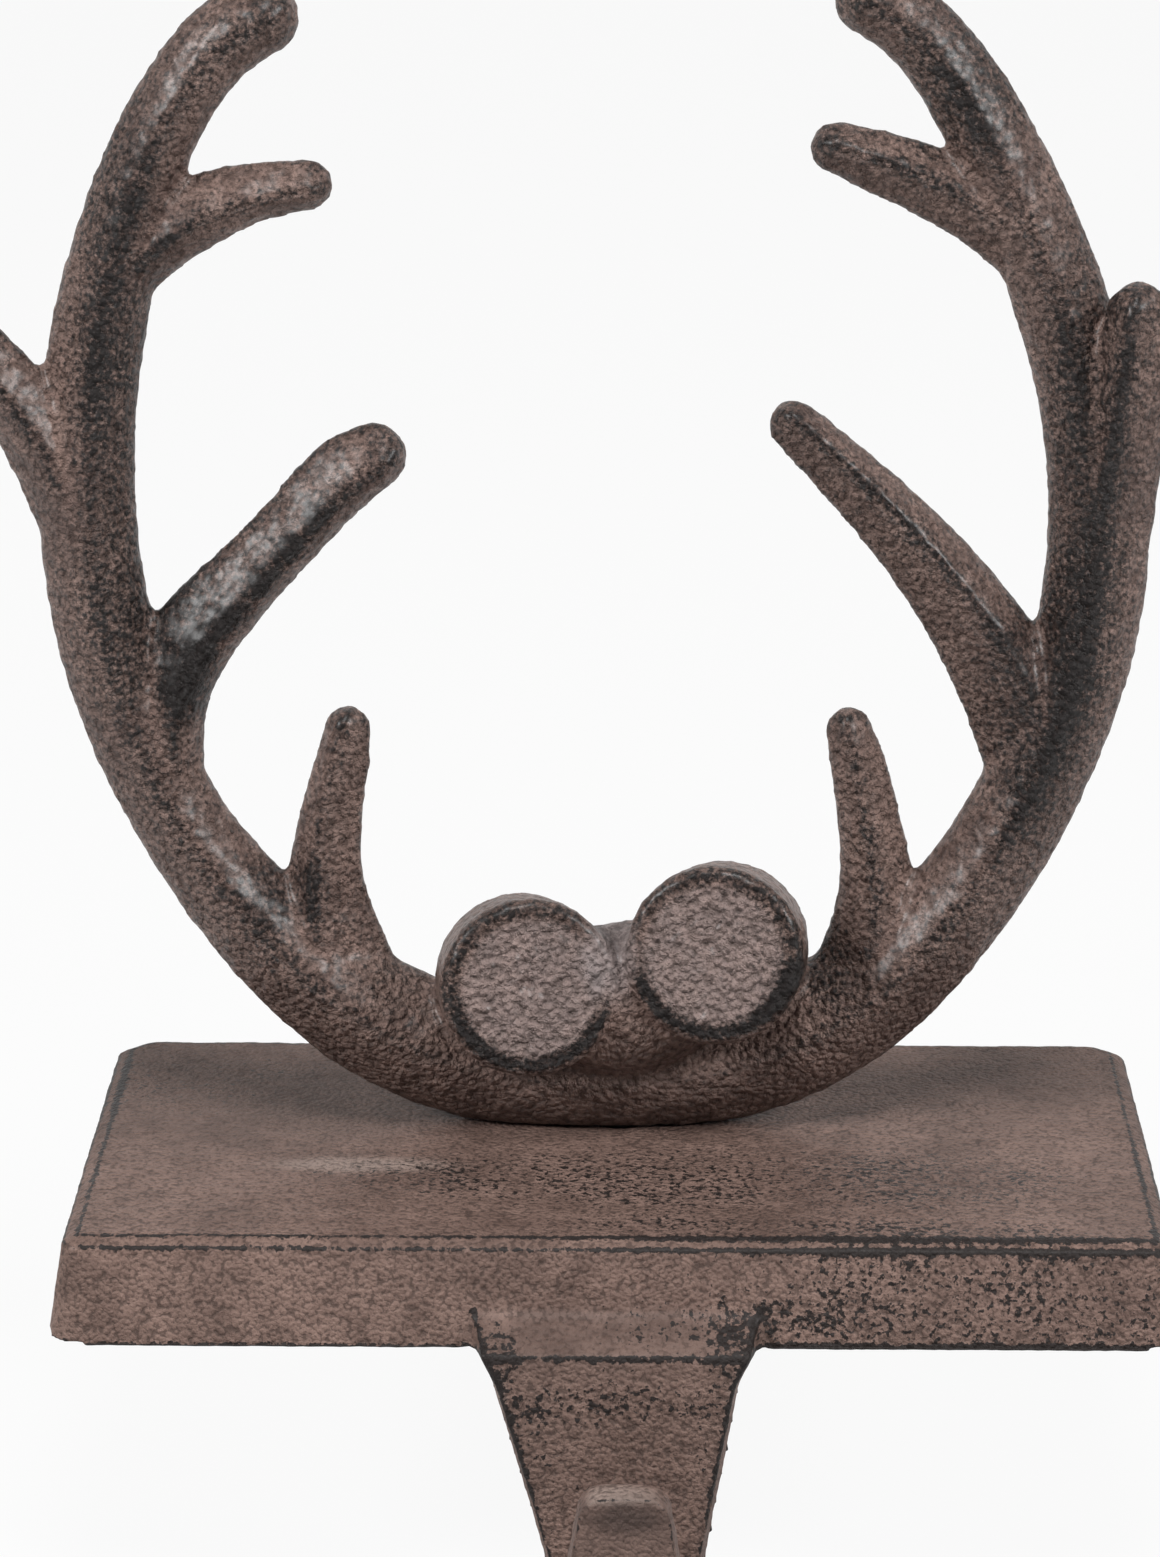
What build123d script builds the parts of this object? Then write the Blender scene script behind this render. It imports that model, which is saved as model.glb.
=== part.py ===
import os
from math import atan2, cos, degrees, hypot, radians, sin, tan

from build123d import *

# Mantel stocking holder in cast iron: a base that rests on the mantel, with its hook cast in front,
# a pair of antlers cast as one wreath, and the screw that holds the wreath down from below.
# X runs along the mantel, Y runs back from the mantel's front edge, Z rises from the mantel's top.

# Base casting, open below
base_width = 142.0
base_depth = 82.0
side_height = 12.4
side_draft = 9.0
front_round = 4.5
back_cut = 5.0
bevel_width = 2.1
bevel_height = 1.0
rim_width = 6.0
plate_thickness = 5.0
hollow_draft = 4.0
hollow_corner = 3.0

# Hook, cast in one with the base
strap_thickness = 5.0
strap_draft = 12.0
shoulder_width = 35.4
shoulder_rise = 4.6
crease_height = 0.7
neck_width = 31.6
neck_drop = 3.8
neck_round = 7.0
bend_width = 21.0
hook_shift = 1.2
throat_radius = 8.0
hook_drop = 40.0
tip_drop = 7.5
tip_width = 12.4
tip_corner = 4.5
tip_draft = 3.0

# Antler wreath
wreath_span = 128.7
wreath_height = 147.0
antler_setback = 47.5
beam_fullness = 1.0
tine_fullness = 0.65
beam_lean = -0.1
beam_depth = 8.3
bridge_depth = 6.5
bridge_fullness = 1.8
root_depth = 5.5
dome_angles = (0.0, 30.0, 55.0, 75.0)

# Burrs, the round sawn ends of the antlers
burr_radius = 11.6
burr_taper = 1.0
burr_length = 19.0
burr_reach = 14.5
burr_edge = 1.4
burr_back_round = 8.0
burr_pitch = 10.0
left_burr_offset = -11.2
left_burr_height = 22.4
left_burr_turn = 9.0
right_burr_offset = 12.1
right_burr_height = 26.9
right_burr_turn = -8.0

# Fixing screw
screw_diameter = 5.0
screw_clearance = 0.3
thread_clearance = 0.05
thread_length = 10.0
drill_allowance = 2.0
head_diameter = 9.5
head_height = 3.4
head_round = 1.2
driver_width = 1.2
driver_depth = 1.6

base_height = side_height + bevel_height
bevel_angle = degrees(atan2(bevel_width, bevel_height))
strap_lean = strap_thickness * tan(radians(strap_draft))
hook_width = bend_width - 2 * strap_lean
bend_radius = throat_radius + strap_thickness
bend_level = bend_radius - hook_drop
below_hook = -hook_drop - strap_thickness
throat_middle = -strap_thickness - throat_radius
hook_reach = strap_thickness + 2 * throat_radius + strap_thickness
plate_underside = base_height - plate_thickness

# Stations along the limbs: X, distance in front of the wreath's plane, height on the base, half width.
# The beam runs from one blunt end, round under the burrs, to the other. Tines run from root to tip.
beam = [
    (-45.0, 0, 144.6, 5.0), (-53.4, 0, 137.6, 5.0), (-61.5, 0, 121.4, 5.5), (-67.8, 0, 91.5, 6.2),
    (-67.2, 0, 72.0, 6.4), (-57.9, 0, 42.4, 6.1), (-48.6, 0, 28.8, 6.9), (-32.5, 0, 14.2, 8.3),
    (0.0, 0, 6.2, 8.3), (28.7, 0, 14.8, 8.3), (43.6, 0, 29.2, 7.0), (55.6, 0, 51.5, 6.6),
    (60.9, 0, 77.0, 6.6), (58.2, 0, 99.6, 6.1), (48.0, 0, 126.3, 5.6), (39.5, 0, 140.2, 5.0),
    (31.2, 0, 147.0, 4.8),
]
left_brow = [
    (-35.5, 0, 18.0, 7.4), (-38.0, 0, 29.0, 5.7), (-37.9, 0, 37.5, 4.5), (-36.6, 0, 45.0, 3.9),
    (-35.1, 0, 52.9, 3.1),
]
right_brow = [
    (31.5, 0, 18.0, 7.4), (33.6, 0, 29.0, 5.7), (32.9, 0, 37.0, 4.5), (31.4, 0, 45.5, 3.9),
    (29.6, 0, 53.0, 3.1),
]
left_second = [
    (-58.6, 0, 45.0, 4.9), (-59.2, 0, 54.4, 5.8), (-55.8, 0, 63.6, 5.7), (-47.5, 0, 73.4, 4.9),
    (-38.5, 0, 83.2, 4.8), (-31.5, 0, 88.9, 4.4),
]
right_second = [
    (53.2, 0, 44.0, 4.9), (52.2, 0, 53.0, 6.6), (46.3, 0, 65.8, 6.2), (36.5, 0, 78.7, 4.9),
    (29.0, 0, 86.4, 4.1), (22.0, 0, 93.0, 3.3),
]
left_third = [
    (-63.4, 0, 113.0, 5.2), (-57.8, 0, 117.3, 4.9), (-52.0, 0, 120.6, 4.6), (-46.0, 0, 122.6, 3.9),
    (-39.5, 0, 123.6, 3.4),
]
right_third = [
    (52.4, 0, 114.8, 5.0), (46.8, 0, 119.4, 4.8), (40.5, 0, 123.2, 4.6), (33.5, 0, 126.2, 4.2),
    (27.0, 0, 128.4, 3.4),
]
left_outer = [
    (-67.9, 0, 77.5, 5.4), (-70.2, 0.3, 84.0, 5.5), (-73.6, 0.7, 91.6, 5.4), (-78.0, 1, 98.4, 4.8),
    (-82.8, 1.5, 105.0, 3.7),
]
right_outer = [
    (61.0, 0, 76.0, 6.2), (62.4, 1.5, 84.5, 5.8), (63.5, 3.3, 92.5, 5.3), (64.3, 4.7, 100.5, 4.8),
    (64.8, 5.5, 108.3, 4.3),
]
bridge = [(-12.0, 5.8, 20.5, 7.0), (0.5, 5.8, 18.4, 10.0), (13.0, 5.8, 24.5, 7.0)]

# The tines, each with how far its crest lies off its middle, as a share of the half width
tines = [
    (left_brow, -0.3), (right_brow, -0.1), (left_second, 0.35), (right_second, 0.35),
    (left_third, 0.15), (right_third, 0.2), (left_outer, 0), (right_outer, -0.3),
]

# The stations are drawn at the wreath's present size, and stretch with its span and height.
spread = wreath_span / (max(station[0] for station in beam) - min(station[0] for station in beam))
rise = wreath_height / max(station[2] for station in beam)


def ring(place, direction, half_width, deepest, fullness, lean):
    # A section across a limb: a rounded diamond with a crest to the front and one to the back.
    half_depth = min(half_width, deepest)
    crest = lean * half_width
    chord = hypot(half_depth, half_width)
    crest_pull = fullness * half_width / chord
    side_pull = fullness * half_depth / chord
    with BuildSketch(Plane(origin=place, x_dir=(0, -1, 0), z_dir=direction)) as section:
        with BuildLine():
            Spline(
                (half_depth, crest), (0, half_width), (-half_depth, crest), (0, -half_width),
                tangents=[(0, 1), (-1, 0), (0, -1), (1, 0)],
                tangent_scalars=[crest_pull, side_pull, crest_pull, side_pull], periodic=True,
            )
        make_face()
    return section.sketch


def dome(place, direction, reach, deepest, fullness, lean):
    # The rounded end of a limb, which runs on along its direction or, with a negative reach, against it.
    with BuildPart() as end:
        loft([
            ring(place + direction * reach * sin(radians(angle)), direction,
                 abs(reach) * cos(radians(angle)), deepest, fullness, lean)
            for angle in dome_angles
        ])
    return end.part


def limb(stations, deepest, fullness, lean, blunt_start=False, blunt_end=True):
    # A loft through a limb's stations, with a dome on each free end.
    places = [
        Vector(x * spread, antler_setback - forward, base_height + height * rise)
        for x, forward, height, _ in stations
    ]
    sizes = [half_width for _, _, _, half_width in stations]
    ahead = places[1:] + places[-1:]
    behind = places[:1] + places[:-1]
    directions = [(after - before).normalized() for after, before in zip(ahead, behind)]
    with BuildPart() as body:
        loft([
            ring(place, direction, size, deepest, fullness, lean)
            for place, direction, size in zip(places, directions, sizes)
        ])
    pieces = [body.part]
    if blunt_start:
        pieces.append(dome(places[0], directions[0], -sizes[0], deepest, fullness, lean))
    if blunt_end:
        pieces.append(dome(places[-1], directions[-1], sizes[-1], deepest, fullness, lean))
    return pieces


def burr(offset, height, turn):
    # A turned stub with a rounded back, which faces forward and up and leans a little to the middle.
    face = Vector(offset * spread, antler_setback - burr_reach, base_height + height * rise)
    sideways = Vector(1, 0, 0).rotate(Axis.Z, turn)
    backward = Vector(0, 1, 0).rotate(Axis.X, -burr_pitch).rotate(Axis.Z, turn)
    with BuildPart() as stub:
        with BuildSketch(Plane(origin=face, x_dir=sideways, z_dir=sideways.cross(backward))) as half_section:
            with BuildLine():
                Polyline(
                    (0, 0), (burr_radius, 0), (burr_radius - burr_taper, burr_length), (0, burr_length), close=True,
                )
            make_face()
            fillet(half_section.vertices().group_by(Axis.X)[1], burr_back_round)
            fillet(half_section.vertices().group_by(Axis.X)[-1], burr_edge)
        revolve(axis=Axis(face, backward))
    return stub.part


limbs = limb(beam, beam_depth, beam_fullness, beam_lean, blunt_start=True)
limbs = limbs + limb(bridge, bridge_depth, bridge_fullness, 0, blunt_end=False)
for tine, lean in tines:
    limbs = limbs + limb(tine, root_depth, tine_fullness, lean)
left_burr = burr(left_burr_offset, left_burr_height, left_burr_turn)
right_burr = burr(right_burr_offset, right_burr_height, right_burr_turn)

with BuildPart() as antlers:
    add(limbs)
    add([left_burr, right_burr])
    split(bisect_by=Plane.XY.offset(base_height), keep=Keep.TOP)
    with BuildSketch(Plane.XY.offset(base_height)):
        with Locations((0, antler_setback)):
            Circle(screw_diameter / 2 + thread_clearance)
    extrude(amount=thread_length + drill_allowance, mode=Mode.SUBTRACT)


def hook_profile():
    # The side view of shoulder, strap, bend and tip, as wide as the shoulder.
    with BuildPart() as profile:
        with BuildSketch(Plane.YZ):
            with BuildLine():
                Polyline(
                    (0, bend_level), (0, 0), (rim_width, 0), (rim_width, shoulder_rise),
                    (shoulder_rise * tan(radians(side_draft)), shoulder_rise),
                    (-strap_thickness, crease_height), (-strap_thickness, bend_level),
                )
                CenterArc((throat_middle, bend_level), throat_radius, 0, -180)
                Polyline(
                    (throat_middle - throat_radius, bend_level), (throat_middle - throat_radius, -tip_drop),
                    (-hook_reach, -tip_drop), (-hook_reach, bend_level),
                )
                CenterArc((throat_middle, bend_level), bend_radius, 180, 180)
            make_face()
        extrude(amount=shoulder_width / 2, both=True)
    return profile.part


with BuildPart() as strap:
    add(hook_profile())
    with BuildSketch(Plane.XZ) as strap_outline:
        with BuildLine():
            Polyline(
                (hook_shift + bend_width / 2, below_hook), (hook_shift + bend_width / 2, bend_level),
                (neck_width / 2, -neck_drop), (shoulder_width / 2, 0), (shoulder_width / 2, shoulder_rise),
                (-shoulder_width / 2, shoulder_rise), (-shoulder_width / 2, 0), (-neck_width / 2, -neck_drop),
                (hook_shift - bend_width / 2, bend_level), (hook_shift - bend_width / 2, below_hook), close=True,
            )
        make_face()
        fillet(strap_outline.vertices().group_by(Axis.Y)[2], neck_round)
    extrude(amount=strap_thickness, taper=strap_draft, mode=Mode.INTERSECT)

with BuildPart() as shoulder:
    add(hook_profile())
    with BuildSketch(Plane.XZ):
        with Locations((0, shoulder_rise / 2)):
            Rectangle(shoulder_width, shoulder_rise)
    extrude(amount=-rim_width, mode=Mode.INTERSECT)

with BuildPart() as hook_tip:
    add(hook_profile())
    with BuildSketch(Plane.XZ.offset(strap_thickness)) as tip_outline:
        with BuildLine():
            Polyline(
                (hook_shift + hook_width / 2, below_hook), (hook_shift + hook_width / 2, bend_level),
                (hook_shift + tip_width / 2, -tip_drop), (hook_shift - tip_width / 2, -tip_drop),
                (hook_shift - hook_width / 2, bend_level), (hook_shift - hook_width / 2, below_hook), close=True,
            )
        make_face()
        fillet(tip_outline.vertices().group_by(Axis.Y)[-1], tip_corner)
    extrude(amount=hook_reach - strap_thickness, taper=tip_draft, mode=Mode.INTERSECT)

with BuildPart() as mantel_base:
    with BuildSketch() as base_outline:
        with Locations((0, base_depth / 2)):
            Rectangle(base_width, base_depth)
        fillet(base_outline.vertices().group_by(Axis.Y)[0], front_round)
        chamfer(base_outline.vertices().group_by(Axis.Y)[-1], back_cut)
    extrude(amount=side_height, taper=side_draft)
    extrude(mantel_base.faces().sort_by(Axis.Z)[-1], amount=bevel_height, taper=bevel_angle)
    with BuildSketch():
        with Locations((0, base_depth / 2)):
            RectangleRounded(base_width - 2 * rim_width, base_depth - 2 * rim_width, hollow_corner)
    extrude(amount=plate_underside, taper=hollow_draft, mode=Mode.SUBTRACT)
    with BuildSketch():
        with Locations((0, antler_setback)):
            Circle(screw_diameter / 2 + screw_clearance)
    extrude(amount=base_height, mode=Mode.SUBTRACT)
    add([shoulder.part, strap.part, hook_tip.part])

with BuildPart() as fixing_screw:
    with BuildSketch(Plane.XY.offset(plate_underside)):
        with Locations((0, antler_setback)):
            Circle(head_diameter / 2)
    extrude(amount=-head_height)
    fillet(fixing_screw.edges().group_by(Axis.Z)[0], head_round)
    with BuildSketch(Plane.XY.offset(plate_underside - head_height)):
        with Locations((0, antler_setback)):
            Rectangle(head_diameter, driver_width)
    extrude(amount=driver_depth, mode=Mode.SUBTRACT)
    with BuildSketch(Plane.XY.offset(plate_underside)):
        with Locations((0, antler_setback)):
            Circle(screw_diameter / 2)
    extrude(amount=plate_thickness + thread_length)

os.makedirs("parts", exist_ok=True)
antlers.part.label = "antlers"
export_step(antlers.part, "parts/antlers.step")
mantel_base.part.label = "mantel_base"
export_step(mantel_base.part, "parts/mantel_base.step")
fixing_screw.part.label = "fixing_screw"
export_step(fixing_screw.part, "parts/fixing_screw.step")
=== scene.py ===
import math

import bmesh
import bpy
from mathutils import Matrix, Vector, kdtree


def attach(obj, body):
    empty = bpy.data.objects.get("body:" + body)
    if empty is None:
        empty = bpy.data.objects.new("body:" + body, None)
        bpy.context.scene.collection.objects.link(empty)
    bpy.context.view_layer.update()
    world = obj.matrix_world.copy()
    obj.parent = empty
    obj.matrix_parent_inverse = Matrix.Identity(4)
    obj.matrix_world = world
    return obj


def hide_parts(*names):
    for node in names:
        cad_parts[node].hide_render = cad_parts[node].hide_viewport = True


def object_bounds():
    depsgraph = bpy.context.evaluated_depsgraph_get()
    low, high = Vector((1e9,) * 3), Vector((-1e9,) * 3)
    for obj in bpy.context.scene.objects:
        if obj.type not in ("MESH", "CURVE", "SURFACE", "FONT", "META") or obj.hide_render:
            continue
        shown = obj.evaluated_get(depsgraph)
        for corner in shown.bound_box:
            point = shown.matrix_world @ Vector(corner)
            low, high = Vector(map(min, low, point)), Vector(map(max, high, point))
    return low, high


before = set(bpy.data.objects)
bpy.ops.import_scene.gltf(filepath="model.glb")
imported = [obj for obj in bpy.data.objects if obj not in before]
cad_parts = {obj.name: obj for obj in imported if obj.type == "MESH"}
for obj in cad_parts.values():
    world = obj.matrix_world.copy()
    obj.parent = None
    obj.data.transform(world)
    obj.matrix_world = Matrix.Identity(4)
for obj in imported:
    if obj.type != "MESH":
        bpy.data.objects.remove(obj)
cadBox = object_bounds()
print("frame loaded:", ", ".join(sorted(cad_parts)))

weldDistance = 0.000005
millimetres = 1000.0  # in a metre


def pickOnly(piece):
    bpy.ops.object.select_all(action="DESELECT")
    piece.select_set(True)
    bpy.context.view_layer.objects.active = piece


def applyModifier(piece, kind, **settings):
    pickOnly(piece)
    bpy.ops.object.modifier_add(type=kind)
    modifier = piece.modifiers[-1]
    for name, value in settings.items():
        setattr(modifier, name, value)
    bpy.ops.object.modifier_apply(modifier=modifier.name)


def soften(piece, rounds, group=""):
    applyModifier(piece, "SMOOTH", factor=0.5, iterations=rounds, vertex_group=group)


def push(piece, distance, **settings):
    applyModifier(piece, "DISPLACE", strength=distance, mid_level=0.0, **settings)


def roughen(piece, name, size, height, middle, group=""):
    texture = bpy.data.textures.new(name, "CLOUDS")
    texture.noise_basis = "IMPROVED_PERLIN"
    texture.noise_scale = size
    texture.noise_depth = 1
    applyModifier(piece, "DISPLACE", texture=texture, texture_coords="LOCAL",
                  strength=height, mid_level=middle, vertex_group=group)


def copyOfNode(node, name):
    # the CAD mesh is loose triangles, so the copy is welded first
    piece = bpy.data.objects.new(name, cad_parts[node].data.copy())
    bpy.context.scene.collection.objects.link(piece)
    pickOnly(piece)
    bpy.ops.object.mode_set(mode="EDIT")
    bpy.ops.mesh.select_all(action="SELECT")
    bpy.ops.mesh.remove_doubles(threshold=weldDistance)
    bpy.ops.object.mode_set(mode="OBJECT")
    return piece


def evenSkin(piece, look):
    # one closed mesh of even faces, with softened corners
    applyModifier(piece, "REMESH", mode="VOXEL", voxel_size=look["voxel"], use_smooth_shade=True)
    soften(piece, look["softening"])


def crestOf(piece, rounds):
    # how far each point stands out from a softened copy, in millimetres
    soft = bpy.data.objects.new(piece.name + "Soft", piece.data.copy())
    bpy.context.scene.collection.objects.link(soft)
    soften(soft, rounds)
    crest = [
        millimetres * (here.co - there.co).dot(here.normal)
        for here, there in zip(piece.data.vertices, soft.data.vertices)
    ]
    bpy.data.objects.remove(soft)
    return crest


def convexEdgePoints(piece, sharpness, step):
    # points at even steps along the edges that stand out by more than the angle
    mesh = bmesh.new()
    mesh.from_mesh(piece.data)
    points = []
    for edge in mesh.edges:
        if len(edge.link_faces) == 2 and edge.calc_face_angle_signed() > sharpness:
            start, end = (vertex.co.copy() for vertex in edge.verts)
            count = max(1, round((end - start).length / step))
            points += [start.lerp(end, number / count) for number in range(count + 1)]
    mesh.free()
    return points


def edgeDistance(piece, edgePoints):
    # how far each point lies from the nearest convex edge, in millimetres
    tree = kdtree.KDTree(len(edgePoints))
    for index, point in enumerate(edgePoints):
        tree.insert(point, index)
    tree.balance()
    return [millimetres * tree.find(vertex.co)[2] for vertex in piece.data.vertices]


def weightGroup(piece, name, weights, least=0.01):
    group = piece.vertex_groups.new(name=name)
    for index, weight in enumerate(weights):
        if weight > least:
            group.add([index], min(weight, 1.0), "REPLACE")
    return name


def markPoints(piece, name, values):
    # an attribute that the material reads by its name
    attribute = piece.data.attributes.new(name, "FLOAT", "POINT")
    attribute.data.foreach_set("value", values)
    print(piece.name, name, "from %.2f to %.2f" % (min(values), max(values)))


def between(value, low, high):
    share = min(1.0, max(0.0, (value - low) / (high - low)))
    return share * share * (3.0 - 2.0 * share)


def nearPlace(point, place, size):
    # one around the place, falling off at the size along each axis
    spread = sum(((here - middle) / reach) ** 2 for here, middle, reach in zip(point, place, size))
    return math.exp(-spread * spread)


def spotSum(point, spots):
    # spots are (place, size, amount)
    return sum(amount * nearPlace(point, place, size) for place, size, amount in spots)


def addNode(tree, kind, x, y, **settings):
    node = tree.nodes.new(kind)
    node.location = (x, y)
    for name, value in settings.items():
        setattr(node, name, value)
    return node


def plug(tree, socket, value):
    if isinstance(value, (int, float, tuple)):
        socket.default_value = value
    else:
        tree.links.new(value, socket)


def plugAll(tree, sockets, names, values):
    for name, value in zip(names, values):
        plug(tree, sockets[name], value)


def mathNode(tree, operation, x, y, first, second):
    node = addNode(tree, "ShaderNodeMath", x, y, operation=operation)
    plugAll(tree, node.inputs, (0, 1), (first, second))
    return node.outputs[0]


def weightedSum(tree, x, y, terms):
    # terms are (socket, weight) pairs
    total = 0.0
    for number, (value, weight) in enumerate(terms):
        node = addNode(tree, "ShaderNodeMath", x + 160 * number, y, operation="MULTIPLY_ADD")
        plugAll(tree, node.inputs, (0, 1, 2), (value, weight, total))
        total = node.outputs[0]
    return total


def rangeNode(tree, x, y, value, low, high, toLow=0.0, toHigh=1.0):
    node = addNode(tree, "ShaderNodeMapRange", x, y, interpolation_type="SMOOTHSTEP")
    plugAll(tree, node.inputs, ("Value", "From Min", "From Max", "To Min", "To Max"),
            (value, low, high, toLow, toHigh))
    return node.outputs[0]


def noiseNode(tree, x, y, vector, scale, detail, rough):
    node = addNode(tree, "ShaderNodeTexNoise", x, y)
    plugAll(tree, node.inputs, ("Vector", "Scale", "Detail", "Roughness"), (vector, scale, detail, rough))
    return node.outputs[0]


def mixColour(tree, x, y, factor, first, second):
    node = addNode(tree, "ShaderNodeMix", x, y, data_type="RGBA")
    plugAll(tree, node.inputs, (0, 6, 7), (factor, first, second))  # the sockets of the colour mix
    return node.outputs[2]


def newGroup(name, inputs, outputs):
    group = bpy.data.node_groups.new(name, "ShaderNodeTree")
    for socketName in inputs:
        kind = "NodeSocketVector" if socketName == "Vector" else "NodeSocketFloat"
        group.interface.new_socket(name=socketName, in_out="INPUT", socket_type=kind)
    for socketName in outputs:
        group.interface.new_socket(name=socketName, in_out="OUTPUT", socket_type="NodeSocketFloat")
    entry = addNode(group, "NodeGroupInput", -1000, 0)
    outlet = addNode(group, "NodeGroupOutput", 1000, 0)
    return group, entry.outputs, outlet.inputs


def placeGroup(tree, group, x, y, **values):
    node = addNode(tree, "ShaderNodeGroup", x, y, node_tree=group)
    plugAll(tree, node.inputs, values.keys(), values.values())
    return node.outputs


def newMaterial(name):
    material = bpy.data.materials.new(name)
    material.use_nodes = True
    return material, material.node_tree, material.node_tree.nodes["Principled BSDF"]


# sand grain of a casting: its height, and the creases between the grains, which the iron darkens as dark paint in the
# pits and as painted shade
grainMix = {
    "sandDetail": 3.0, "sandRough": 0.62, "sandShare": 0.8, "cellShare": -0.45, "level": 0.34,
    "crease": (0.36, 0.52),
}
castGrain, grainIn, grainOut = newGroup("castGrain", ["Vector", "Grain"], ["Height", "Crease"])
sand = noiseNode(castGrain, -700, 200, grainIn["Vector"], grainIn["Grain"],
                 grainMix["sandDetail"], grainMix["sandRough"])
cells = addNode(castGrain, "ShaderNodeTexVoronoi", -700, -100, feature="F1")
plugAll(castGrain, cells.inputs, ("Vector", "Scale"), (grainIn["Vector"], grainIn["Grain"]))
sandHeight = weightedSum(castGrain, -400, 100, [
    (sand, grainMix["sandShare"]), (cells.outputs["Distance"], grainMix["cellShare"]), (1.0, grainMix["level"]),
])
sandCrease = rangeNode(castGrain, 300, -100, sandHeight, *grainMix["crease"], 1.0, 0.0)
plugAll(castGrain, grainOut, ("Height", "Crease"), (sandHeight, sandCrease))

# brown paint rubbed through to dark iron in flecks, which crowd together where the wear is
coatMix = {
    "patchScale": 65.0, "patchDetail": 3.0, "fleckDetail": 3.0, "rough": 0.6,
    "toneScale": 400.0, "toneDetail": 5.0, "toneRough": 0.7,
    "fleckRub": 1.2, "heightRub": 0.4, "wearRub": 0.4, "patchRub": 0.35, "rubLevel": -1.25,
    "toneShade": 0.7, "patchShade": 0.6, "shadeLevel": -0.15, "shades": (0.28, 0.72),
}
rubbedCoat, coatIn, coatOut = newGroup(
    "rubbedCoat", ["Vector", "Wear", "Fleck", "Height", "Soft"], ["Rubbed", "Tone"])
patches = noiseNode(rubbedCoat, -800, 300, coatIn["Vector"],
                    coatMix["patchScale"], coatMix["patchDetail"], coatMix["rough"])
flecks = noiseNode(rubbedCoat, -800, 60, coatIn["Vector"],
                   coatIn["Fleck"], coatMix["fleckDetail"], coatMix["rough"])
tones = noiseNode(rubbedCoat, -800, -180, coatIn["Vector"],
                  coatMix["toneScale"], coatMix["toneDetail"], coatMix["toneRough"])
rubSum = weightedSum(rubbedCoat, -500, 300, [
    (flecks, coatMix["fleckRub"]), (coatIn["Height"], coatMix["heightRub"]), (coatIn["Wear"], coatMix["wearRub"]),
    (patches, coatMix["patchRub"]), (1.0, coatMix["rubLevel"]),
])
rubSum = mathNode(rubbedCoat, "DIVIDE", 400, 300, rubSum, coatIn["Soft"])
toneSum = weightedSum(rubbedCoat, -500, -180, [
    (tones, coatMix["toneShade"]), (patches, coatMix["patchShade"]), (1.0, coatMix["shadeLevel"]),
])
plug(rubbedCoat, coatOut["Rubbed"], rangeNode(rubbedCoat, 600, 300, rubSum, -1.0, 1.0))
plug(rubbedCoat, coatOut["Tone"], rangeNode(rubbedCoat, 300, -180, toneSum, *coatMix["shades"]))

# rubbed wax: its sheen lies on the grain's tops and follows the facets under the fine grain
waxMask = {"tops": (0.34, 0.6), "least": 0.4}


def castIron(name, look):
    material, tree, shader = newMaterial(name)
    shader.location = (1200, 0)
    place = addNode(tree, "ShaderNodeTexCoord", -1300, 0).outputs["Object"]
    wear, pale, hollow = (
        addNode(tree, "ShaderNodeAttribute", -1300, y, attribute_name=mark).outputs["Fac"]
        for mark, y in (("wear", -300), ("pale", -500), ("hollow", -700))
    )
    grain = placeGroup(tree, castGrain, -1000, 200, Vector=place, Grain=look["grain"])
    coat = placeGroup(tree, rubbedCoat, -700, -100, Vector=place, Wear=wear, Fleck=look["fleck"],
                      Soft=look["fleckSoft"], Height=grain["Height"])
    colour = mixColour(tree, -400, 200, coat["Tone"], look["paintDark"], look["paintLight"])
    # pale paint on the burr faces and the scuff, and painted highlights where the pale spots stand for light
    colour = mixColour(tree, -200, 200, pale, colour, look["palePaintAndHighlight"])
    colour = mixColour(tree, 0, 200, coat["Rubbed"], colour, look["iron"])
    # creases and hollows are darkened towards the crevice colour: dark paint in the pits, and painted shade
    dark = mathNode(tree, "MULTIPLY", -200, -100, grain["Crease"], look["crease"])
    dark = mathNode(tree, "MAXIMUM", 0, -100, dark, hollow)
    colour = mixColour(tree, 400, 200, dark, colour, look["creviceDirtAndShade"])
    rough = rangeNode(tree, 400, -300, coat["Rubbed"], 0.0, 1.0, look["paintRough"], look["ironRough"])
    bump = addNode(tree, "ShaderNodeBump", 800, -400)
    plugAll(tree, bump.inputs, ("Strength", "Distance", "Height"), (1.0, look["grainDepth"], grain["Height"]))
    sheen = rangeNode(tree, 400, -600, grain["Height"], *waxMask["tops"],
                      waxMask["least"] * look["wax"], look["wax"])
    plugAll(tree, shader.inputs, ("Base Color", "Roughness", "Normal"), (colour, rough, bump.outputs["Normal"]))
    plugAll(tree, shader.inputs, ("Specular IOR Level", "Coat Weight", "Coat Roughness"),
            (look["shine"], sheen, look["waxRough"]))
    return material


def finishPiece(piece, node, material):
    piece.data.materials.clear()
    piece.data.materials.append(material)
    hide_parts(node)
    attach(piece, "root")
    print(piece.name, "has", len(piece.data.polygons), "faces")


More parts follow.
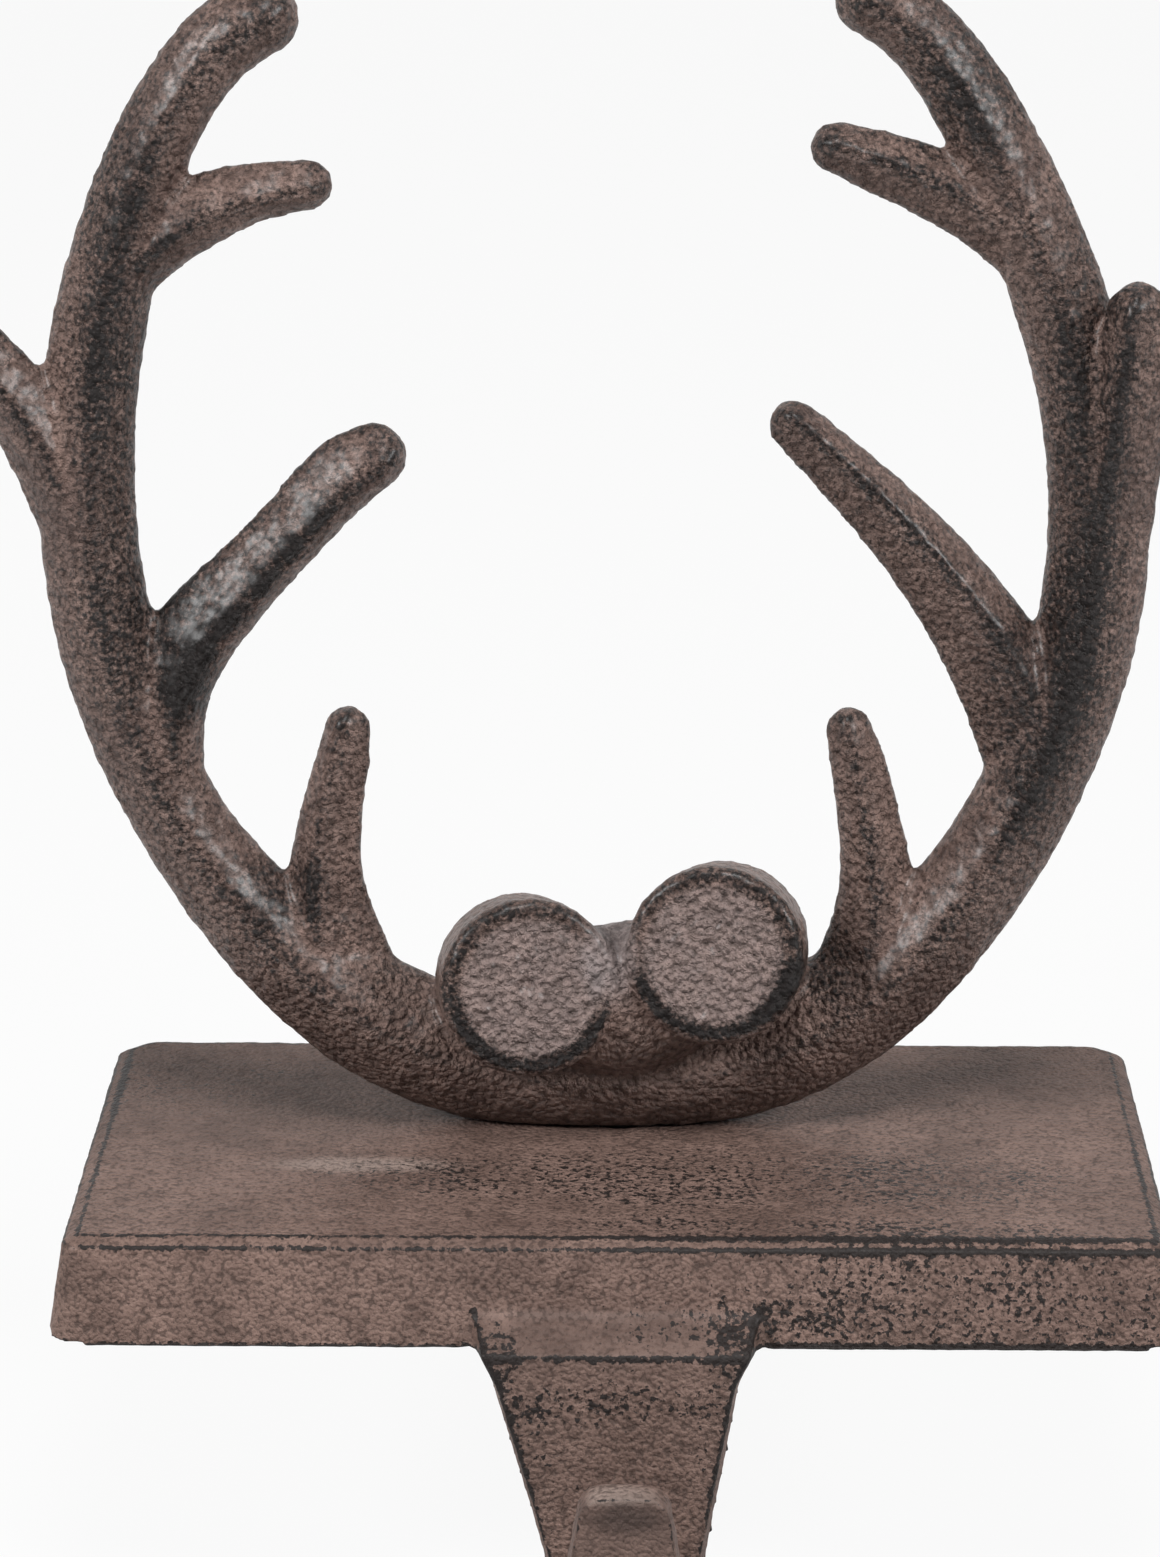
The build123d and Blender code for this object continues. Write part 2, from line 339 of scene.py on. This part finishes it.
# antler wreath: one casting with coarse grain, worn along its crests
antlerLook = {
    "voxel": 0.0006, "softening": 3, "swell": 0.0001, "crestRounds": 21,
    "hollowRounds": 17, "filledHollow": (0.05, 0.3), "darkHollow": (0.08, 0.35), "hollowDark": 0.2,
    "lumpSize": 0.0034, "lumpHeight": 0.0004, "sandSize": 0.0014, "sandHeight": 0.0004, "reliefLevel": 0.65,
    "grain": 1000.0, "grainDepth": 0.0027, "crease": 0.4, "fleck": 1500.0, "fleckSoft": 0.22,
    "paintDark": (0.1, 0.063, 0.053, 1.0), "paintLight": (0.255, 0.171, 0.144, 1.0),
    "palePaintAndHighlight": (0.25, 0.205, 0.197, 1.0), "iron": (0.012, 0.009, 0.0085, 1.0),
    "creviceDirtAndShade": (0.006, 0.0045, 0.004, 1.0), "paintRough": 0.5, "ironRough": 0.4,
    "shine": 0.15, "wax": 0.42, "waxRough": 0.33,
    "rubbedFrom": (0.0, -0.96, 0.28), "rubbedFacing": 0.4, "crestGain": 2.6,
    "burrPaint": 0.3, "rimWearAndShade": 1.1, "burrPale": 0.45,
    "worn": [
        ((0.0, 0.036, 0.024), (0.035, 0.02, 0.016), -0.4),
        ((0.0585, 0.037, 0.1), (0.006, 0.02, 0.032), 0.55),
        ((0.053, 0.037, 0.07), (0.007, 0.02, 0.018), 0.55),
        ((-0.062, 0.037, 0.115), (0.006, 0.02, 0.04), 0.5),
        ((-0.057, 0.037, 0.08), (0.006, 0.02, 0.015), 0.45),
        ((-0.0538, 0.037, 0.0718), (0.004, 0.02, 0.004), 0.6),
        ((-0.0432, 0.035, 0.0456), (0.006, 0.02, 0.005), 0.6),
        ((0.0255, 0.033, 0.036), (0.006, 0.02, 0.005), 0.8),
        ((0.043, 0.037, 0.15), (0.008, 0.02, 0.012), 0.4),
        ((-0.0568, 0.0425, 0.0735), (0.0028, 0.01, 0.0028), 0.5),
        ((-0.0535, 0.0423, 0.0775), (0.0024, 0.01, 0.0024), 0.6),
        ((-0.0497, 0.0426, 0.0822), (0.0024, 0.01, 0.0024), 0.6),
        ((-0.0458, 0.043, 0.0868), (0.0022, 0.01, 0.0022), 0.6),
        ((-0.042, 0.0432, 0.0914), (0.002, 0.01, 0.002), 0.55),
        ((-0.0385, 0.0434, 0.0958), (0.0018, 0.01, 0.0018), 0.5),
        ((-0.047, 0.043, 0.088), (0.016, 0.02, 0.016), 0.2),
        # painted highlight: the web between the burrs kept free of dark wear, as if lit from above
        ((-0.001, 0.037, 0.0395), (0.0035, 0.012, 0.006), -0.8),
        # less dark wear on three tines: partly painted light, where the lamps catch them
        ((-0.0355, 0.045, 0.06), (0.008, 0.02, 0.013), -0.25),
        ((0.032, 0.045, 0.06), (0.008, 0.02, 0.013), -0.25),
        ((-0.0438, 0.045, 0.137), (0.01, 0.02, 0.008), -0.25),
    ],
    # painted highlight: a pale spot on the web between the burrs
    "scuffsAndHighlights": [((-0.001, 0.037, 0.0395), (0.0035, 0.012, 0.006), 0.9)],  # the web between the burrs
}
burrFaces = {
    "places": [(-0.0112, 0.033, 0.0358), (0.0121, 0.033, 0.0403)], "turns": [9.0, -8.0], "pitch": 10.0,
    "radius": 0.0098, "reach": 0.003, "facing": 0.1, "edge": (0.85, 1.0),
    "rimInside": (0.74, 0.98), "rimOutside": (1.02, 1.14), "rimTop": (-0.6, 0.2), "rimFade": 0.85,
    "lumpSize": 0.0013, "lumpHeight": 0.0014, "lumpLevel": 0.5,
    "pits": [(-0.0116, 0.033, 0.0364), (0.0115, 0.033, 0.0418)],
    "pitRadius": 0.001, "pitEdge": (0.3, 1.6), "pitDepth": 0.0008,
}


def burrWeights(piece):
    # the sawn faces, and the dark rims round their lower halves: wear on the rims, darker below as painted shade
    faces = [0.0] * len(piece.data.vertices)
    rims = [0.0] * len(piece.data.vertices)
    radius = burrFaces["radius"]
    pitch = math.radians(burrFaces["pitch"])
    for burrPlace, turn in zip(burrFaces["places"], burrFaces["turns"]):
        side = math.radians(turn)
        outward = Vector((math.sin(side) * math.cos(pitch), -math.cos(side) * math.cos(pitch), math.sin(pitch)))
        for index, vertex in enumerate(piece.data.vertices):
            offset = vertex.co - Vector(burrPlace)
            depth = offset.dot(outward)
            if abs(depth) < burrFaces["reach"] and vertex.normal.dot(outward) > burrFaces["facing"]:
                across = offset - outward * depth
                aside = across.length / radius
                faces[index] = max(faces[index], 1.0 - between(aside, *burrFaces["edge"]))
                ring = between(aside, *burrFaces["rimInside"]) * (1.0 - between(aside, *burrFaces["rimOutside"]))
                fade = burrFaces["rimFade"] * between(across.z / radius, *burrFaces["rimTop"])
                rims[index] = max(rims[index], ring * (1.0 - fade))
    return faces, rims


def pitWeights(piece):
    centres = [Vector(pit) for pit in burrFaces["pits"]]
    inside, outside = (share * burrFaces["pitRadius"] for share in burrFaces["pitEdge"])
    return [
        1.0 - between(min((vertex.co - centre).length for centre in centres), inside, outside)
        for vertex in piece.data.vertices
    ]


antlerCasting = copyOfNode("antlers", "antlerCasting")
evenSkin(antlerCasting, antlerLook)
push(antlerCasting, antlerLook["swell"])
hollows = [
    between(-crest, *antlerLook["filledHollow"]) for crest in crestOf(antlerCasting, antlerLook["crestRounds"])
]
soften(antlerCasting, antlerLook["hollowRounds"], weightGroup(antlerCasting, "hollows", hollows))
antlerCrest = crestOf(antlerCasting, antlerLook["crestRounds"])
burrFaceWeights, burrRimWeights = burrWeights(antlerCasting)
rubbedFrom = Vector(antlerLook["rubbedFrom"])
antlerPoints = antlerCasting.data.vertices
markPoints(antlerCasting, "wear", [
    antlerLook["crestGain"] * crest + antlerLook["rubbedFacing"] * max(0.0, vertex.normal.dot(rubbedFrom))
    - antlerLook["burrPaint"] * burr + antlerLook["rimWearAndShade"] * rim + spotSum(vertex.co, antlerLook["worn"])
    for crest, vertex, burr, rim in zip(antlerCrest, antlerPoints, burrFaceWeights, burrRimWeights)
])
# crotches and hollows darkened: dark iron where the paint did not reach, and painted shade
markPoints(antlerCasting, "hollow", [
    antlerLook["hollowDark"] * between(-crest, *antlerLook["darkHollow"]) for crest in antlerCrest
])
markPoints(antlerCasting, "pale", [
    antlerLook["burrPale"] * burr + spotSum(vertex.co, antlerLook["scuffsAndHighlights"])
    for burr, vertex in zip(burrFaceWeights, antlerPoints)
])
burrGroup = weightGroup(antlerCasting, "burrFaces", burrFaceWeights)
pitGroup = weightGroup(antlerCasting, "pits", pitWeights(antlerCasting))
roughen(antlerCasting, "antlerLumps", antlerLook["lumpSize"], antlerLook["lumpHeight"], antlerLook["reliefLevel"])
roughen(antlerCasting, "antlerSand", antlerLook["sandSize"], antlerLook["sandHeight"], antlerLook["reliefLevel"])
roughen(antlerCasting, "burrLumps", burrFaces["lumpSize"], burrFaces["lumpHeight"], burrFaces["lumpLevel"], burrGroup)
push(antlerCasting, -burrFaces["pitDepth"], vertex_group=pitGroup)
finishPiece(antlerCasting, "antlers", castIron("antlerIron", antlerLook))

# base with its hook: one casting with finer grain, worn along its edges
baseLook = {
    "voxel": 0.00064, "softening": 2, "crestRounds": 14, "darkHollow": (0.05, 0.3), "hollowDark": 0.4,
    "lumpSize": 0.006, "lumpHeight": 0.0003, "sandSize": 0.0012, "sandHeight": 0.0002, "reliefLevel": 1.0,
    "backTrim": 0.0002, "backBand": (0.078, 0.0815),
    "grain": 1500.0, "grainDepth": 0.0006, "crease": 0.5, "fleck": 1200.0, "fleckSoft": 0.05,
    "paintDark": (0.095, 0.06, 0.049, 1.0), "paintLight": (0.185, 0.121, 0.1, 1.0),
    "palePaintAndHighlight": (0.3, 0.235, 0.205, 1.0), "iron": (0.015, 0.011, 0.01, 1.0),
    "creviceDirtAndShade": (0.01, 0.0075, 0.007, 1.0), "paintRough": 0.6, "ironRough": 0.5,
    "shine": 0.15, "wax": 0.15, "waxRough": 0.4,
    "edgeAngle": 20.0, "edgeStep": 0.0004, "edgeWear": 1.4, "edgeBand": (0.1, 1.0), "unworn": 0.35,
    "worn": [
        ((0.048, 0.0, 0.0055), (0.045, 0.008, 0.012), 0.8),
        ((0.012, 0.024, 0.013), (0.052, 0.017, 0.006), 0.8),
        ((0.044, 0.024, 0.013), (0.02, 0.014, 0.006), 0.2),
        ((-0.028, 0.027, 0.013), (0.014, 0.009, 0.006), 0.3),
        ((0.02, 0.007, 0.013), (0.05, 0.004, 0.006), 0.5),
        ((-0.055, 0.06, 0.013), (0.025, 0.02, 0.006), 0.6),
        ((-0.002, -0.0047, -0.0055), (0.016, 0.006, 0.003), 0.45),
        ((-0.0145, -0.004, 0.0), (0.003, 0.006, 0.004), 1.0),
        ((0.0145, -0.004, 0.0), (0.003, 0.006, 0.004), 0.6),
        ((-0.0125, -0.0047, -0.0115), (0.005, 0.006, 0.007), 0.35),
        ((0.0125, -0.0047, -0.01), (0.003, 0.006, 0.01), 0.35),
        ((-0.002, -0.0047, -0.012), (0.02, 0.006, 0.014), 0.4),
        ((0.0, -0.001, 0.0035), (0.03, 0.003, 0.003), 0.45),
    ],
    "patinaAndShade": [
        ((-0.05, 0.065, 0.0134), (0.04, 0.03, 0.004), 0.3),
        ((0.055, 0.068, 0.0134), (0.035, 0.018, 0.004), 0.25),
        # painted shade: the strap's shoulder, darkened where the top lamp lights it strongly
        ((0.0, -0.002, 0.001), (0.02, 0.004, 0.004), 0.3),
        # painted shade: the front face of the hook tip, darkest just below its rim
        ((0.0018, -0.0257, -0.0112), (0.0052, 0.002, 0.0024), 0.45),
        ((0.0012, -0.026, -0.016), (0.008, 0.003, 0.009), 0.25),
    ],
    "scuffsAndHighlights": [
        ((-0.033, 0.0295, 0.0134), (0.011, 0.0028, 0.002), 0.6),
        # painted highlights: the rim of the hook tip, and glints on the strap's two edges
        ((0.0, -0.0245, -0.0088), (0.006, 0.003, 0.0009), 0.6),
        ((-0.0148, -0.004, -0.0045), (0.0012, 0.003, 0.003), 0.6),
        ((0.0152, -0.003, -0.004), (0.0012, 0.003, 0.003), 0.5),
    ],
}
baseCasting = copyOfNode("mantel_base", "baseCasting")
baseEdges = convexEdgePoints(baseCasting, math.radians(baseLook["edgeAngle"]), baseLook["edgeStep"])
evenSkin(baseCasting, baseLook)
baseCrest = crestOf(baseCasting, baseLook["crestRounds"])
basePoints = baseCasting.data.vertices
markPoints(baseCasting, "wear", [
    baseLook["edgeWear"] * (1.0 - between(distance, *baseLook["edgeBand"])) - baseLook["unworn"]
    + spotSum(vertex.co, baseLook["worn"])
    for distance, vertex in zip(edgeDistance(baseCasting, baseEdges), basePoints)
])
# concave places darkened as dirt and as painted shade, plus the dark spots listed above
markPoints(baseCasting, "hollow", [
    baseLook["hollowDark"] * between(-crest, *baseLook["darkHollow"]) + spotSum(vertex.co, baseLook["patinaAndShade"])
    for crest, vertex in zip(baseCrest, basePoints)
])
# a pale scuff on the top, and painted highlights on the hook tip and the strap
markPoints(baseCasting, "pale", [spotSum(vertex.co, baseLook["scuffsAndHighlights"]) for vertex in basePoints])
roughen(baseCasting, "baseLumps", baseLook["lumpSize"], baseLook["lumpHeight"], baseLook["reliefLevel"])
roughen(baseCasting, "baseSand", baseLook["sandSize"], baseLook["sandHeight"], baseLook["reliefLevel"])
# the back is drawn in a little, so that its grain stays inside the CAD box
backWeights = [between(vertex.co.y, *baseLook["backBand"]) for vertex in baseCasting.data.vertices]
push(baseCasting, -baseLook["backTrim"], direction="Y", vertex_group=weightGroup(baseCasting, "back", backWeights))
finishPiece(baseCasting, "mantel_base", castIron("baseIron", baseLook))

# fixing screw: the CAD solid in plain steel
screwLook = {"Base Color": (0.42, 0.42, 0.43, 1.0), "Metallic": 1.0, "Roughness": 0.35}
screwSteel, screwTree, screwShader = newMaterial("screwSteel")
plugAll(screwTree, screwShader.inputs, screwLook.keys(), screwLook.values())
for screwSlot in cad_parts["fixing_screw"].material_slots:
    screwSlot.material = screwSteel
print("screw painted")

# studio: pale floor under the hook, white surround, soft lamps from the left, the right and above
studio = {
    "floorGap": 0.0003, "floorSize": 6.0, "floorColour": (0.5, 0.5, 0.5, 1.0), "floorRough": 0.9,
    "floorWhite": 0.93, "surround": 0.1, "roomDark": 0.06, "behind": (-0.3, 0.5), "white": (1.0, 1.0, 1.0, 1.0),
    "lamps": [
        ("leftLamp", (-0.9, -0.55, 0.7), 0.3, 14.0), ("rightLamp", (0.9, -0.5, 0.65), 0.3, 12.0),
        ("topLamp", (0.05, -0.5, 1.05), 0.3, 8.0),
    ],
    "aim": (0.0, 0.04, 0.08),
}


def seenWhite(tree, x, y, place, dim):
    # white to the camera, and to mirrored rays behind the object, where its backdrop stands
    path = addNode(tree, "ShaderNodeLightPath", x, y).outputs
    side = addNode(tree, "ShaderNodeSeparateXYZ", x, y - 300)
    plug(tree, side.inputs[0], place)
    behind = rangeNode(tree, x + 200, y - 300, side.outputs["Y"], *studio["behind"], dim, 1.0)
    mirrored = mathNode(tree, "MAXIMUM", x + 200, y, path["Is Glossy Ray"], path["Is Transmission Ray"])
    mirrored = mathNode(tree, "MULTIPLY", x + 400, y, mirrored, behind)
    return mathNode(tree, "MAXIMUM", x + 600, y, path["Is Camera Ray"], mirrored)


bpy.ops.mesh.primitive_plane_add(size=studio["floorSize"], location=(0.0, 0.0, cadBox[0].z - studio["floorGap"]))
floor = bpy.context.object
floor.name = "floor"
floorPaper, floorTree, floorShader = newMaterial("floorPaper")
plugAll(floorTree, floorShader.inputs, ("Base Color", "Roughness"), (studio["floorColour"], studio["floorRough"]))
floorGlow = addNode(floorTree, "ShaderNodeEmission", 0, -400)
plugAll(floorTree, floorGlow.inputs, ("Color", "Strength"), (studio["white"], 1.0))
floorPlace = addNode(floorTree, "ShaderNodeTexCoord", -900, 300).outputs["Object"]
floorSeen = seenWhite(floorTree, -700, 300, floorPlace, 0.0)
floorShare = mathNode(floorTree, "MULTIPLY", 200, 300, floorSeen, studio["floorWhite"])
floorMix = addNode(floorTree, "ShaderNodeMixShader", 400, 0)
plugAll(floorTree, floorMix.inputs, (0, 1, 2), (floorShare, floorShader.outputs[0], floorGlow.outputs[0]))
plug(floorTree, floorTree.nodes["Material Output"].inputs["Surface"], floorMix.outputs[0])
floor.data.materials.append(floorPaper)

world = bpy.data.worlds.new("studioSurround")
bpy.context.scene.world = world
world.use_nodes = True
worldTree = world.node_tree
worldPlace = addNode(worldTree, "ShaderNodeTexCoord", -1200, 0).outputs["Generated"]
worldSeen = seenWhite(worldTree, -1000, 0, worldPlace, studio["roomDark"])
worldGlow = mathNode(worldTree, "MAXIMUM", -200, 0, worldSeen, studio["surround"])
plugAll(worldTree, worldTree.nodes["Background"].inputs, ("Color", "Strength"), (studio["white"], worldGlow))

for lampName, lampPlace, lampSize, lampPower in studio["lamps"]:
    bpy.ops.object.light_add(type="AREA", location=lampPlace)
    lamp = bpy.context.object
    lamp.name = lampName
    lamp.data.size = lampSize
    lamp.data.energy = lampPower
    lamp.rotation_euler = (Vector(studio["aim"]) - Vector(lampPlace)).to_track_quat("-Z", "Y").to_euler()

# camera as in the photograph: 16 degrees down, long lens
shot = {
    "place": (0.0043, -0.6034, 0.2464), "turn": (74.0, 0.0, 0.83),
    "lens": 121.1, "sensor": 36.0, "nearest": 0.01,
}
bpy.ops.object.camera_add(location=shot["place"], rotation=[math.radians(angle) for angle in shot["turn"]])
camera = bpy.context.object
camera.data.lens = shot["lens"]
camera.data.sensor_width = shot["sensor"]
camera.data.clip_start = shot["nearest"]
bpy.context.scene.camera = camera
bpy.context.scene.view_settings.view_transform = "Standard"
print("studio ready")
